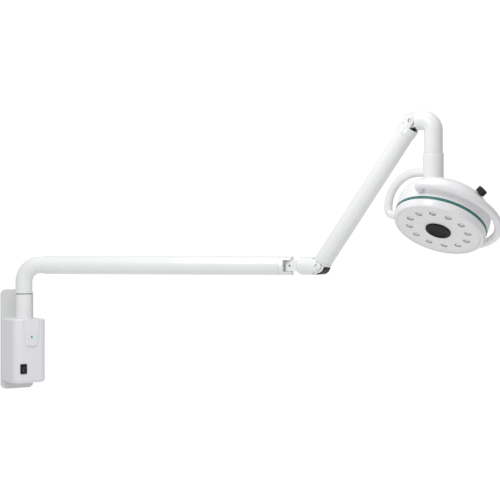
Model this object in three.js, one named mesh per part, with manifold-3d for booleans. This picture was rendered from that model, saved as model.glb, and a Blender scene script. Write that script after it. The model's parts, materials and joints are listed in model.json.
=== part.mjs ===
// A wall-mounted examination light: a wall plate with a power housing, a post, a swinging main arm,
// a balanced spring arm, a gooseneck, a swivelling stem with a one-sided yoke, and a tilting lamp head.
// Millimetres, +Z up. The origin is the centre of the wall plate's back face; the light faces -Y.
import * as THREE from "three";
import { mergeVertices } from "three/addons/utils/BufferGeometryUtils.js";
import Module from "manifold-3d";

// Wall unit
const PLATE = { width: 96, height: 280, thickness: 8, corner: 14 };
const HOUSING = { width: 96, bottom: -118, top: 59, front: -104.5, corner: 22, wall: 3 };
const HOUSING_EDGE = { top: 4, bottom: 10 };
const POST_OUT = 53.5; // from the wall to the post's axis
const POST = { radius: 22.5, bore: 19, bottom: -56, top: 127 };
const ROCKER = { x: -22.6, z: -78, width: 19, height: 27, axle: -99.5, rest: 6 };
const SHIELD = { top: 59.5, bottom: -15, halfTop: 24, halfBottom: 16.5, corner: 8, thickness: 3 };
const LED_HEIGHT = 10;

// The chain of arms
const ARM_HEIGHT = 209;
const MAIN_ARM = { azimuth: -47, radius: 25, bore: 22, start: 62.3, end: 735, pin: 760, slot: 15.3 };
const ELBOW = { radius: 23.3, bore: 19.5, bend: 48, spigot: 16.2 };
const KNUCKLE = { azimuth: -66, pitchAxis: 97, radius: 23.5, tongue: 11.3, tongueHeight: 29 };
const DRUM = { radius: 22, half: 15, slot: 4.3, pin: 5 };
const SPRING_ARM = { rise: 53.5, length: 455, radius: 23, bore: 20, start: 19.3, end: 430 };
const UPPER_CAP = { radius: 24.5, start: 417, end: 440 };
const LINK = { offset: 14, angle: 103, pin: 2.4, half: 4 };
const GOOSENECK = { radius: 24, bore: 20, bend: 27, reach: 54, drop: 82, start: 10.5 };
const CHEEK = { radius: 10, inner: 15.4 }; // the rounded cheeks of both pitch hinges

// Stem and yoke, with heights measured from the gooseneck's level axis
const STEM = { azimuth: 109, radius: 27.5, top: -82.3, bottom: -150.8, shaft: 12 };
const YOKE = { radius: 10.5, bore: 8, height: -129.8, reach: 132, bend: 88, hook: 16.5 };
const TILT = { height: -234.3, offset: -28.2, rest: 31.6, pin: 6 };

// Lamp head: radii and heights above the rim of its face, which is below the tilt axis
const FACE = -50;
const RING = { bottom: 20, top: 26.5, inner: 109, outer: 115.8 };
const DOME = [
  [116.5, 26.8], [117, 45], [116.8, 58], [115, 68], [110, 80], [102, 90], [92, 98], [79, 103], [60, 105],
  [0, 106],
];
const SHELL_WALL = 2.6;
const LENS = { count: 12, circle: 75, hole: 9, radius: 8.4 };
const HUB_RADIUS = 32;
const HANDLE = { circle: 139.5, height: -6, tube: 10, bend: 14, from: 88, to: 272 };
const KNOB = { angle: 166, radius: 12.5, flutes: 14, from: 3, to: 17.5, circle: 100, height: 39.5 };

const GAP = 0.3; // between pieces that touch
const FINE = 20;
const MEDIUM = 16;
const SMALL = 10;
const HEAD_SIDES = 28;
const DEG = Math.PI / 180;

const wasm = await Module();
wasm.setup();

const X = new THREE.Vector3(1, 0, 0);
const Y = new THREE.Vector3(0, 1, 0);
const Z = new THREE.Vector3(0, 0, 1);
const FORWARD = new THREE.Vector3(0, -1, 0); // away from the wall

const white = { color: 0xf1f2f1, roughness: 0.35, metalness: 0 };
const grey = { color: 0xd9dbda, roughness: 0.5, metalness: 0 };
const black = { color: 0x1b1c1e, roughness: 0.5, metalness: 0 };
const steel = { color: 0xb4b6b8, roughness: 0.35, metalness: 0.9 };
const green = { color: 0x5c8a82, roughness: 0.45, metalness: 0 };
const clear = { color: 0xe6ecee, roughness: 0.1, metalness: 0 };
const board = { color: 0xe4e6df, roughness: 0.6, metalness: 0 };
const aluminium = { color: 0xc4c8ca, roughness: 0.45, metalness: 0.8 };

// --- solids ---------------------------------------------------------------------------------

// A closed three.js geometry as a solid.
function solid(geometry) {
  const bare = geometry.clone();
  bare.deleteAttribute("normal");
  bare.deleteAttribute("uv");
  const merged = mergeVertices(bare, 1e-4);
  return new wasm.Manifold(
    new wasm.Mesh({
      numProp: 3,
      vertProperties: merged.attributes.position.array,
      triVerts: new Uint32Array(merged.index.array),
    }),
  );
}

// The bore whose flats just clear a round shaft that turns in it.
function runningBore(radius, sides = MEDIUM) {
  return radius / Math.cos(Math.PI / sides) + 0.05;
}

function join(...solids) {
  return solids.reduce((all, next) => all.add(next));
}

function cut(body, ...tools) {
  return tools.reduce((left, tool) => left.subtract(tool), body);
}

// A named mesh of a solid or of a geometry.
function piece(name, shape, look) {
  let geometry = shape;
  if (!shape.isBufferGeometry) {
    const mesh = shape.getMesh();
    geometry = new THREE.BufferGeometry();
    geometry.setAttribute("position", new THREE.BufferAttribute(mesh.vertProperties, 3));
    geometry.setIndex(new THREE.BufferAttribute(mesh.triVerts, 1));
    geometry.computeVertexNormals();
  }
  const made = new THREE.Mesh(geometry, new THREE.MeshStandardMaterial(look));
  made.name = name;
  return made;
}

function box(x0, x1, y0, y1, z0, z1) {
  const geometry = new THREE.BoxGeometry(x1 - x0, y1 - y0, z1 - z0);
  return solid(geometry.translate((x0 + x1) / 2, (y0 + y1) / 2, (z0 + z1) / 2));
}

// Turns a geometry built about Z so that its Z runs along the given direction, then moves it.
function aim(geometry, direction, at = [0, 0, 0]) {
  const turn = new THREE.Quaternion().setFromUnitVectors(Z, direction);
  return geometry.applyQuaternion(turn).translate(...at);
}

// A body of revolution about Z; the profile is [radius, height] points, counter-clockwise.
function turned(profile, sides = FINE, direction = Z, at = [0, 0, 0]) {
  const points = profile.map(([r, h]) => new THREE.Vector2(r, h));
  if (profile[0][0] > 0) points.push(points[0].clone());
  const geometry = new THREE.LatheGeometry(points, sides).rotateX(Math.PI / 2);
  return solid(aim(geometry, direction, at));
}

function rod(radius, from, to, direction = Z, at = [0, 0, 0], sides = MEDIUM) {
  return turned([[0, from], [radius, from], [radius, to], [0, to]], sides, direction, at);
}

function ring(inner, outer, from, to, direction = Z, at = [0, 0, 0], sides = FINE) {
  const profile = [[inner, from], [outer, from], [outer, to], [inner, to]];
  return turned(profile, sides, direction, at);
}

// A flat shape in the XZ plane, with its thickness from y0 to y1.
function slab(shape, y0, y1, curveSegments = 4) {
  const options = { depth: y1 - y0, bevelEnabled: false, curveSegments };
  return solid(new THREE.ExtrudeGeometry(shape, options).rotateX(Math.PI / 2).translate(0, y1, 0));
}

// A rounded rectangle, centred, with optional round holes [x, y, radius].
function roundedRectangle(width, height, corner, holes = []) {
  const [w, h, c] = [width / 2, height / 2, corner];
  const shape = new THREE.Shape();
  shape.absarc(w - c, h - c, c, 0, Math.PI / 2);
  shape.absarc(c - w, h - c, c, Math.PI / 2, Math.PI);
  shape.absarc(c - w, c - h, c, Math.PI, 1.5 * Math.PI);
  shape.absarc(w - c, c - h, c, 1.5 * Math.PI, 2 * Math.PI);
  shape.closePath();
  for (const [x, y, radius] of holes) {
    shape.holes.push(new THREE.Path().absarc(x, y, radius, 0, 2 * Math.PI));
  }
  return shape;
}

// A path in the XZ plane that runs straight and turns, from [x, z] at a heading in degrees. A move is
// a length, or { turn, radius, steps } with a positive turn towards +Z.
class BentPath extends THREE.Curve {
  constructor(x, z, heading, moves) {
    super();
    this.stations = [{ x, z, heading }];
    for (const move of moves) this.follow(move);
  }
  follow(move) {
    const { x, z, heading } = this.stations.at(-1);
    const ahead = [Math.cos(heading * DEG), Math.sin(heading * DEG)];
    if (typeof move === "number") {
      this.stations.push({ x: x + move * ahead[0], z: z + move * ahead[1], heading });
      return;
    }
    const side = Math.sign(move.turn) * move.radius;
    const centre = [x - side * ahead[1], z + side * ahead[0]];
    for (let i = 1; i <= move.steps; i++) {
      const now = heading + (move.turn * i) / move.steps;
      this.stations.push({
        x: centre[0] + side * Math.sin(now * DEG),
        z: centre[1] - side * Math.cos(now * DEG),
        heading: now,
      });
    }
  }
  get steps() {
    return this.stations.length - 1;
  }
  getUtoTmapping(u) {
    return u;
  }
  getPoint(t, target = new THREE.Vector3()) {
    const { x, z } = this.stations[Math.round(t * this.steps)];
    return target.set(x, 0, z);
  }
  getTangent(t, target = new THREE.Vector3()) {
    const { heading } = this.stations[Math.round(t * this.steps)];
    return target.set(Math.cos(heading * DEG), 0, Math.sin(heading * DEG));
  }
}

// A bar along a bent path, or a tube when it has an inner radius.
function sweptGeometry(path, outer, inner, sides = FINE) {
  const shape = new THREE.Shape().absarc(0, 0, outer, 0, 2 * Math.PI);
  if (inner) shape.holes.push(new THREE.Path().absarc(0, 0, inner, 0, 2 * Math.PI));
  const options = { steps: path.steps, extrudePath: path, curveSegments: sides / 2 };
  return new THREE.ExtrudeGeometry(shape, options);
}

function hexNut(size, hole, from, to, direction, at) {
  return cut(rod(size, from, to, direction, at, 6), rod(hole, from - 1, to + 1, direction, at));
}

function group(parent, position = [0, 0, 0], azimuth = 0) {
  const made = new THREE.Group();
  made.position.set(...position);
  made.rotation.z = azimuth * DEG;
  parent.add(made);
  return made;
}

// A pan-head screw along Z, head down, with the head's seat at height 0.
function screw(shank, head, headHeight, length) {
  const profile = [[0, -headHeight], [head * 0.8, -headHeight], [head, -headHeight * 0.6], [head, 0]];
  return turned([...profile, [shank, 0], [shank, length], [0, length]], SMALL);
}

// --- wall unit ------------------------------------------------------------------------------

function wallUnit(parent) {
  const screws = [[38, 45], [-38, 45], [38, -50], [-38, -50]]; // covered by the housing
  const holes = screws.map(([x, z]) => [x, z, 3.4]);
  const shape = roundedRectangle(PLATE.width, PLATE.height, PLATE.corner, holes);
  const lugs = [-30, 30].map((x) =>
    cut(box(x - 6, x + 6, -24, -PLATE.thickness + 1, -112, -104), rod(1.8, -120, -100, Z, [x, -17, 0], 12)),
  );
  parent.add(piece("wall_plate", join(slab(shape, -PLATE.thickness, 0), ...lugs), grey));
  screws.forEach(([x, z], i) => {
    const made = piece(`wall_screw_${i + 1}`, screw(3, 5.5, 3, 7), steel);
    made.rotation.x = -Math.PI / 2;
    made.position.set(x, -PLATE.thickness - GAP, z);
    parent.add(made);
  });

  const back = -PLATE.thickness - GAP;
  const postAt = [0, -POST_OUT, 0];
  const clamps = [-39, 39].map((z) => rod(28.5, z - 11, z + 11, Z, postAt, FINE));
  const bracket = join(box(-30, 30, back - 4, back, -55, 55), box(-6, 6, -40, back - 2, -50, 50), ...clamps);
  parent.add(piece("post_bracket", cut(bracket, rod(POST.radius + GAP, -80, 80, Z, postAt, FINE)), steel));
  parent.add(piece("wall_post", ring(POST.bore, POST.radius, POST.bottom, POST.top, Z, postAt), white));

  const flange = POST.top + GAP;
  const bushBore = runningBore(ELBOW.spigot, FINE);
  const bushRim = [[bushBore, flange - 40], [POST.bore - 0.35, flange - 40]];
  const bush = [...bushRim, [POST.bore - 0.35, flange], [POST.radius, flange], [POST.radius, flange + 2]];
  parent.add(piece("swivel_bush", turned([...bush, [bushBore, flange + 2]], FINE, Z, postAt), black));

  parent.add(piece("power_housing", housing(), white));
  for (const x of [-30, 30]) {
    const made = piece(x < 0 ? "housing_screw_left" : "housing_screw_right", screw(1.6, 3.2, 2, 12), steel);
    made.position.set(x, -17, HOUSING.bottom - GAP);
    parent.add(made);
  }
  parent.add(piece("power_supply", box(-40, 40, -36, back - GAP, -98, -58), aluminium));
  parent.add(piece("nameplate_badge", badge(), white));
  parent.add(piece("status_led", statusLed(), green));
  parent.add(piece("power_inlet", inlet(), black));
  rockerSwitch(parent);
}

// One layer of the housing between two heights, rounded at its front corners and round both ends.
function roundedBlock(inset, edge, bottom, top) {
  const half = HOUSING.width / 2 - inset;
  const corner = HOUSING.corner - inset - edge;
  const front = HOUSING.front + inset + edge;
  const shape = new THREE.Shape();
  shape.moveTo(half - edge, 30);
  shape.lineTo(edge - half, 30);
  shape.absarc(edge - half + corner, front + corner, corner, Math.PI, 1.5 * Math.PI);
  shape.absarc(half - edge - corner, front + corner, corner, 1.5 * Math.PI, 2 * Math.PI);
  shape.closePath();
  const bevel = { bevelSize: edge, bevelThickness: edge, bevelSegments: 3 };
  const options = { depth: top - bottom - 2 * edge, curveSegments: 3, ...bevel };
  return solid(new THREE.ExtrudeGeometry(shape, options).translate(0, 0, bottom + edge));
}

function housingLayer(inset) {
  const bottom = HOUSING.bottom + inset;
  const top = HOUSING.top - inset;
  const roundTop = roundedBlock(inset, HOUSING_EDGE.top - inset, bottom - 40, top);
  const roundBottom = roundedBlock(inset, HOUSING_EDGE.bottom - inset, bottom, top + 40);
  return roundTop.intersect(roundBottom);
}

// The housing: a shell open at the back, with openings for the post, switch, light, inlet and screws.
function housing() {
  const { x, z, width, height } = ROCKER;
  const [w, h] = [width / 2 + GAP, height / 2 + GAP];
  return cut(
    housingLayer(0),
    housingLayer(HOUSING.wall),
    box(-80, 80, -PLATE.thickness - GAP, 80, -200, 200),
    rod(POST.radius + 0.8, 40, 80, Z, [0, -POST_OUT, 0], FINE),
    box(x - w, x + w, -120, -90, z - h, z + h),
    rod(3.2, 80, 120, FORWARD, [0, 0, LED_HEIGHT], 12),
    box(-14, 14, -61, -39, -125, -105),
    ...[-30, 30].map((side) => rod(2, -125, -105, Z, [side, -17, 0], 12)),
  );
}

// The raised blank shield on the front, with a hole for the status light.
function badge() {
  const { top, bottom, halfTop, halfBottom, corner, thickness } = SHIELD;
  const shape = new THREE.Shape();
  shape.moveTo(-halfTop, top);
  shape.lineTo(-halfBottom, bottom + corner);
  shape.quadraticCurveTo(-halfBottom, bottom, corner - halfBottom, bottom);
  shape.lineTo(halfBottom - corner, bottom);
  shape.quadraticCurveTo(halfBottom, bottom, halfBottom, bottom + corner);
  shape.lineTo(halfTop, top);
  shape.closePath();
  shape.holes.push(new THREE.Path().absarc(0, LED_HEIGHT, 2.9, 0, 2 * Math.PI));
  return slab(shape, HOUSING.front - GAP - thickness, HOUSING.front - GAP, 6);
}

function statusLed() {
  const lens = [[0, 96], [3.8, 96], [3.8, 100.8], [2.5, 100.8], [2.5, 107.6], [1.7, 108.8], [0, 109.2]];
  return turned(lens, 12, FORWARD, [0, 0, LED_HEIGHT]);
}

// The mains inlet in the underside: a flange, a socket and its three pins.
function inlet() {
  const bottom = HOUSING.bottom - GAP;
  const body = join(
    box(-17, 17, -63, -37, bottom - 2, bottom),
    box(-13.6, 13.6, -60.6, -39.4, bottom - 1, bottom + 20),
  );
  const pins = [[-7, -51], [7, -51], [0, -47]].map(([x, y]) =>
    box(x - 1, x + 1, y - 2, y + 2, bottom + 2, bottom + 17),
  );
  return join(cut(body, box(-11, 11, -59, -41, bottom - 3, bottom + 15)), ...pins);
}

// The rocker switch: a frame through the housing's front, and the paddle in it.
function rockerSwitch(parent) {
  const { x, z, width, height } = ROCKER;
  const [w, h] = [width / 2, height / 2];
  const axle = [x, ROCKER.axle, z];
  const frame = cut(
    join(
      box(x - w, x + w, -106, -86, z - h, z + h),
      box(x - w - 2, x + w + 2, -98, -96, z - h - 2, z + h + 2),
    ),
    box(x - w + 3, x + w - 3, -110, -88, z - h + 3, z + h - 3),
    rod(1.9, -w + 1.5, w - 1.5, X, axle, 12),
  );
  parent.add(piece("rocker_frame", frame, black));

  // The paddle's side view, with its height along the shape's x and its depth along the shape's y.
  const paddle = new THREE.Shape();
  paddle.moveTo(-9.6, -7.5);
  paddle.lineTo(0, -5.6);
  paddle.lineTo(9.6, -7.5);
  paddle.lineTo(9.2, -3);
  paddle.lineTo(3.5, 3.5);
  paddle.lineTo(-3.5, 3.5);
  paddle.lineTo(-9.2, -3);
  paddle.closePath();
  const thickness = width - 7.2;
  const options = { depth: thickness, bevelEnabled: false };
  const blade = new THREE.ExtrudeGeometry(paddle, options);
  blade.translate(0, 0, -thickness / 2).rotateY(Math.PI / 2);
  const trunnions = rod(1.5, -w + 2, w - 2, X, [0, 0, 0], 12);
  const made = piece("rocker", join(solid(blade), trunnions), black);
  made.position.set(...axle);
  made.rotation.x = ROCKER.rest * DEG;
  parent.add(made);
}

// --- main arm -------------------------------------------------------------------------------

function mainArm(parent) {
  const seat = POST.top + GAP + 2 + GAP - ARM_HEIGHT;
  const bend = new BentPath(0, seat + 4, 90, [
    -ELBOW.bend - seat - 4,
    { turn: -90, radius: ELBOW.bend, steps: 6 },
    MAIN_ARM.start - GAP - ELBOW.bend,
  ]);
  const foot = [[12, seat - 38], [ELBOW.spigot, seat - 38], [ELBOW.spigot, seat], [ELBOW.radius, seat]];
  const elbow = join(
    solid(sweptGeometry(bend, ELBOW.radius, ELBOW.bore)),
    turned([...foot, [ELBOW.radius, seat + 5], [12, seat + 5]]),
    ring(17, MAIN_ARM.bore - 0.4, MAIN_ARM.start - 5, MAIN_ARM.start + 28, X),
  );
  parent.add(piece("elbow_tube", elbow, white));

  const tube = ring(MAIN_ARM.bore, MAIN_ARM.radius, MAIN_ARM.start, MAIN_ARM.end - GAP, X);
  parent.add(piece("main_arm_tube", tube, white));
  parent.add(piece("arm_end_fork", fork(), white));

  const pinAt = [MAIN_ARM.pin, 0, 0];
  const pin = [[0, -22], [5, -22], [5, 22], [8, 22], [8, 24], [0, 24]];
  parent.add(piece("fork_pin", turned(pin, MEDIUM, Z, pinAt), steel));
  for (const side of [-1, 1]) {
    const z = side * (KNUCKLE.tongueHeight / 2 + 0.4);
    const name = side < 0 ? "fork_washer_lower" : "fork_washer_upper";
    parent.add(piece(name, ring(5.2, 10.5, z - 0.2, z + 0.2, Z, pinAt, MEDIUM), steel));
  }
}

// The fork that closes the main arm: two ears above and below a slot, round about the pin.
function fork() {
  const { pin, end, radius, bore, slot } = MAIN_ARM;
  const outline = new THREE.Shape();
  outline.moveTo(end - 1, -radius);
  outline.lineTo(pin - 12, -radius);
  outline.quadraticCurveTo(pin + 12, -radius, pin + 12, 0);
  outline.quadraticCurveTo(pin + 12, radius, pin - 12, radius);
  outline.lineTo(end - 1, radius);
  outline.closePath();
  const options = { depth: 60, bevelEnabled: false, curveSegments: 5 };
  const plan = solid(new THREE.ExtrudeGeometry(outline, options).translate(0, 0, -30));
  const head = rod(radius, end, pin + 20, X, [0, 0, 0], FINE).intersect(plan);
  return cut(
    join(head, ring(15, bore - 0.4, end - 30, end + 4, X)),
    box(pin - 12.3, pin + 40, -40, 40, -slot, slot),
    rod(4.5, end - 40, pin, X, [0, 0, 0], SMALL),
    rod(5.3, -40, 22.1, Z, [pin, 0, 0]),
    rod(8.3, 21.7, 40, Z, [pin, 0, 0]),
  );
}

// --- knuckle, level link and spring arm ------------------------------------------------------

// The two cheeks of a hinge whose pivot is at x, reaching back from it, trimmed to a round body.
function cheeks(x, back, radius) {
  const shape = new THREE.Shape();
  shape.moveTo(x - back, -CHEEK.radius);
  shape.lineTo(x, -CHEEK.radius);
  shape.absarc(x, 0, CHEEK.radius, -Math.PI / 2, Math.PI / 2);
  shape.lineTo(x - back, CHEEK.radius);
  shape.closePath();
  const trim = rod(radius, x - 60, x + 60, X, [0, 0, 0], FINE);
  const sides = [[-radius, -CHEEK.inner], [CHEEK.inner, radius]];
  return sides.map(([from, to]) => slab(shape, from, to, 6).intersect(trim));
}

function linkPivot() {
  return [LINK.offset * Math.cos(LINK.angle * DEG), 0, LINK.offset * Math.sin(LINK.angle * DEG)];
}

function knuckle(parent) {
  const { pitchAxis, radius, tongue, tongueHeight } = KNUCKLE;
  const pivot = [pitchAxis, 0, 0];
  const half = tongueHeight / 2;
  const body = [[0, 30], [15, 30], [radius, 39], [radius, pitchAxis - 1], [radius - 1, pitchAxis]];
  const relief = new THREE.Shape(); // lets the spring arm's cap swing up over the top edge
  relief.moveTo(pitchAxis - 13, radius + 0.2);
  relief.lineTo(pitchAxis + 1, radius - 7.5);
  relief.lineTo(pitchAxis + 1, radius + 6);
  relief.closePath();
  const block = cut(
    join(
      box(0, 33, -tongue, tongue, -half, half),
      rod(tongue, -half, half),
      turned([...body, [0, pitchAxis]], FINE, X),
    ),
    slab(relief, -30, 30),
    rod(DRUM.radius + 2.3, -CHEEK.inner, CHEEK.inner, Y, pivot, FINE),
    rod(4, 14, pitchAxis - 10, X, [0, 0, 0], SMALL),
    rod(4, -30, 0, Y, [18, 0, 0], SMALL),
    rod(runningBore(DRUM.pin), -30, 30),
  );

  // The tab that carries the level link's lower pin.
  const [linkX, , linkZ] = linkPivot();
  const linkAt = [pitchAxis + linkX, 0, linkZ];
  const tab = new THREE.Shape();
  tab.absarc(linkAt[0], linkZ, 5, -Math.PI / 2, Math.PI / 2);
  tab.lineTo(pitchAxis - 27, linkZ + 5);
  tab.lineTo(pitchAxis - 27, linkZ - 5);
  tab.closePath();

  const made = cut(
    join(block, ...cheeks(pitchAxis, 16, radius - 2), slab(tab, 0.4, 3.6)),
    rod(DRUM.pin + GAP, -40, 40, Y, pivot),
    rod(LINK.pin + GAP, -8, 8, Y, linkAt, SMALL),
  );
  parent.add(piece("knuckle", made, white));
  parent.add(piece("pitch_pin_lower", rod(DRUM.pin, -20, 20, Y, pivot), steel));
  parent.add(piece("link_pin_lower", rod(LINK.pin, -3.9, 3.9, Y, linkAt, SMALL), steel));
}

// The bar that keeps the gooseneck level, built from its lower pin along X.
function levelLink() {
  const bar = new THREE.Shape();
  bar.absarc(0, 0, LINK.half, Math.PI / 2, 1.5 * Math.PI);
  bar.absarc(SPRING_ARM.length, 0, LINK.half, -Math.PI / 2, Math.PI / 2);
  bar.closePath();
  for (const x of [0, SPRING_ARM.length]) {
    bar.holes.push(new THREE.Path().absarc(x, 0, runningBore(LINK.pin, 12), 0, 2 * Math.PI));
  }
  return piece("level_link", slab(bar, -3.6, -0.4, 6), steel);
}

// A black hinge drum about the pivot, slotted for the link, with a plug that enters its tube.
function drum(plug, end) {
  return cut(
    join(
      rod(DRUM.radius, -DRUM.half, DRUM.half, Y, [0, 0, 0], FINE),
      rod(plug, 12, end, X, [0, 0, 0], FINE),
    ),
    box(-30, 12, -DRUM.slot, DRUM.slot, -30, 30),
    box(-30, 18.5, DRUM.half, 30, -30, 30),
    box(-30, 18.5, -30, -DRUM.half, -30, 30),
    rod(runningBore(DRUM.pin), -30, 30, Y),
  );
}

function drumPocket() {
  return rod(DRUM.radius + GAP, -CHEEK.inner, CHEEK.inner, Y, [0, 0, 0], FINE);
}

// The way for the level link through a plug or a seat.
function linkWay(from, to) {
  return box(from, to, -5, 5, 4.5, 30);
}

function springArm(parent) {
  const { length, radius, bore, start, end } = SPRING_ARM;
  parent.add(piece("lower_hub", cut(drum(bore - 0.5, 46), linkWay(-30, 60)), black));
  const lowerCap = cut(ring(bore, KNUCKLE.radius, 13, start - GAP, X), drumPocket());
  parent.add(piece("lower_cap", lowerCap, white));
  parent.add(piece("spring_tube", ring(bore, radius, start, end, X), white));

  const top = [length, 0, 0];
  const sleeve = [[radius + 0.4, UPPER_CAP.start], [UPPER_CAP.radius, UPPER_CAP.start]];
  sleeve.push([UPPER_CAP.radius, UPPER_CAP.end], [19, UPPER_CAP.end]);
  sleeve.push([19, end + GAP], [radius + 0.4, end + GAP]);
  const cap = cut(
    join(turned(sleeve, FINE, X), ...cheeks(length, 22, UPPER_CAP.radius)),
    rod(DRUM.radius + 0.8, -CHEEK.inner, CHEEK.inner, Y, top, FINE),
    rod(DRUM.pin + GAP, -40, 40, Y, top),
  );
  parent.add(piece("upper_cap", cap, white));
  parent.add(piece("pitch_pin_upper", rod(DRUM.pin, -22, 22, Y, top), steel));

  for (const [name, x] of [["spring_seat_lower", 120], ["spring_seat_upper", 330]]) {
    const seat = cut(rod(bore - 0.4, x, x + 6, X), linkWay(x - 1, x + 7));
    parent.add(piece(name, seat, steel));
  }
  parent.add(piece("balance_spring", coil(126.5, 329.5), steel));
}

// The balance spring: a helix of round wire below the link.
function coil(from, to) {
  const turns = 10;
  const stepsPerTurn = 8;
  const [radius, wire, centre] = [9.5, 1.4, -7.5];
  class Helix extends THREE.Curve {
    getPoint(t, target = new THREE.Vector3()) {
      const angle = 2 * Math.PI * turns * t;
      const x = from + wire + (to - from - 2 * wire) * t;
      return target.set(x, radius * Math.cos(angle), centre + radius * Math.sin(angle));
    }
  }
  const shape = new THREE.Shape().absarc(0, 0, wire, 0, 2 * Math.PI);
  const options = { steps: turns * stepsPerTurn, extrudePath: new Helix(), curveSegments: 2 };
  return solid(new THREE.ExtrudeGeometry(shape, options));
}

// --- gooseneck ------------------------------------------------------------------------------

function gooseneck(parent) {
  const { radius, bore, bend, reach, drop, start } = GOOSENECK;
  const turn = { turn: -90, radius: bend, steps: 6 };
  const path = new BentPath(start, 0, 0, [reach - bend - start, turn, drop - bend]);
  const tube = cut(solid(sweptGeometry(path, radius, bore)), drumPocket());
  parent.add(piece("gooseneck", tube, white));

  const link = linkPivot();
  const hub = cut(drum(bore - 0.5, 26), rod(LINK.pin + GAP, -9, 9, Y, link, SMALL));
  parent.add(piece("upper_hub", hub, black));
  parent.add(piece("link_pin_upper", rod(LINK.pin, -8.6, 8.6, Y, link, SMALL), steel));

  const at = [reach, 0, 0];
  const foot = -drop - 34;
  const plug = bore - 0.4;
  const spindle = [[6, foot], [STEM.shaft, foot], [STEM.shaft, -drop], [plug, -drop]];
  spindle.push([plug, -drop + 26], [6, -drop + 26]);
  parent.add(piece("stem_spindle", turned(spindle, FINE, Z, at), steel));
  parent.add(piece("spindle_nut", hexNut(17, STEM.shaft + GAP, foot, foot + 5, Z, at), steel));
}

// --- stem and yoke --------------------------------------------------------------------------

function stem(parent) {
  const { radius, top, bottom, shaft } = STEM;
  const outside = [[0, bottom], [radius - 4, bottom], [radius, bottom + 4], [radius, top - 2]];
  const bore = runningBore(shaft, FINE);
  const neck = [[radius - 2, top], [bore, top], [bore, top - 28]];
  const room = [[19, top - 28], [19, bottom + 5], [0, bottom + 5]];
  const wireHole = rod(YOKE.radius + GAP, 14, 40, X, [0, 0, YOKE.height]);
  const collar = cut(turned([...outside, ...neck, ...room]), wireHole);
  parent.add(piece("swivel_collar", collar, white));

  const arm = new BentPath(20, YOKE.height, 0, [
    YOKE.reach - YOKE.bend - 20,
    { turn: -90, radius: YOKE.bend, steps: 8 },
    YOKE.height - YOKE.bend - YOKE.hook - TILT.height,
    { turn: -90, radius: YOKE.hook, steps: 4 },
    YOKE.reach - YOKE.hook - 108,
  ]);
  const axis = [0, 0, TILT.height];
  const eye = ring(TILT.pin + 0.4, 13, 102, 110, X, axis, MEDIUM);
  const tube = solid(sweptGeometry(arm, YOKE.radius, YOKE.bore, SMALL));
  parent.add(piece("yoke_arm", join(tube, eye), white));
  const bolt = join(rod(11, 75, 79.5, X, axis, 6), rod(TILT.pin, 79, 112.5, X, axis));
  parent.add(piece("tilt_bolt", bolt, steel));
  const washer = ring(TILT.pin + GAP, 12, 100.2, 101.7, X, axis, MEDIUM);
  parent.add(piece("friction_washer", washer, black));
}

// --- lamp head ------------------------------------------------------------------------------

// A body of revolution of the head; its heights are above the rim of the face.
function headTurned(profile, sides = HEAD_SIDES) {
  return turned(profile.map(([radius, height]) => [radius, height + FACE]), sides);
}

// An open outline moved inwards, towards its left-hand side.
function inward(outline, distance) {
  return outline.map(([x, y], i) => {
    const before = outline[Math.max(i - 1, 0)];
    const after = outline[Math.min(i + 1, outline.length - 1)];
    const along = new THREE.Vector2(after[0] - before[0], after[1] - before[1]).normalize();
    return [Math.max(x - along.y * distance, 0), y + along.x * distance];
  });
}

// Copies of a solid made at the lens circle, one at each lens.
function atLenses(make) {
  return Array.from({ length: LENS.count }, (_, i) => {
    const angle = ((i + 0.5) / LENS.count) * 2 * Math.PI;
    return make(LENS.circle * Math.cos(angle), LENS.circle * Math.sin(angle), angle);
  });
}

function headShell() {
  const inside = inward(DOME, SHELL_WALL);
  inside[0][1] = DOME[0][1];
  const dome = headTurned([...inside.reverse(), ...DOME]);
  const boss = cut(rod(13, 112, 128, X), rod(112.5, -60, 60, Z, [0, 0, 0], HEAD_SIDES));
  return cut(
    join(dome, boss),
    rod(8.2, 90, 140, X),
    ...[HANDLE.from, HANDLE.to].map((angle) => rod(4.3, 100, 130, radial(angle), handleCentre, SMALL)),
    rod(4.1, -20, 20, knobAxis(), knobPlace(), SMALL),
  );
}

function radial(angle) {
  return X.clone().applyAxisAngle(Z, angle * DEG);
}

const handleCentre = [0, 0, HANDLE.height];

function knobAxis() {
  const lean = new THREE.Vector3(Math.SQRT1_2, 0, Math.SQRT1_2);
  return lean.applyAxisAngle(Z, KNOB.angle * DEG);
}

function knobPlace() {
  const place = new THREE.Vector3(KNOB.circle, 0, KNOB.height);
  return place.applyAxisAngle(Z, KNOB.angle * DEG).toArray();
}

// The white rim below the green ring, holding the face plate.
function frontBezel() {
  const outside = [[105, 0.8], [109, 0], [112, 2], [115, 12], [RING.outer, RING.bottom - GAP]];
  return headTurned([...outside, [108, RING.bottom - GAP], [105, 4]]);
}

// The shallow dished face with a hole at every lens and one in the middle.
function facePlate() {
  const below = [[28.6, 1.6], [92, 3.4], [100, 2.6], [104.6, 1.4]];
  const above = [[104.6, 4], [92, 5.8], [28.6, 4]];
  const holes = atLenses((x, y) => rod(LENS.hole, -70, 0, Z, [x, y, 0], 10));
  return cut(headTurned([...below, ...above]), ...holes);
}

function lensPlate() {
  const lens = [[0, 3.6], [6, 4.2], [LENS.radius, 6], [LENS.radius, 9], [0, 9]];
  const lenses = atLenses((x, y) =>
    turned(lens.map(([radius, height]) => [radius, height + FACE]), 8, Z, [x, y, 0]),
  );
  return join(headTurned([[63, 8], [87, 8], [87, 9.6], [63, 9.6]]), ...lenses);
}

function ledBoard() {
  const chips = atLenses((x, y) => box(x - 2.5, x + 2.5, y - 2.5, y + 2.5, FACE + 10.8, FACE + 12.5));
  return join(headTurned([[56, 12], [94, 12], [94, 13.6], [56, 13.6]], FINE), ...chips);
}

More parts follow.
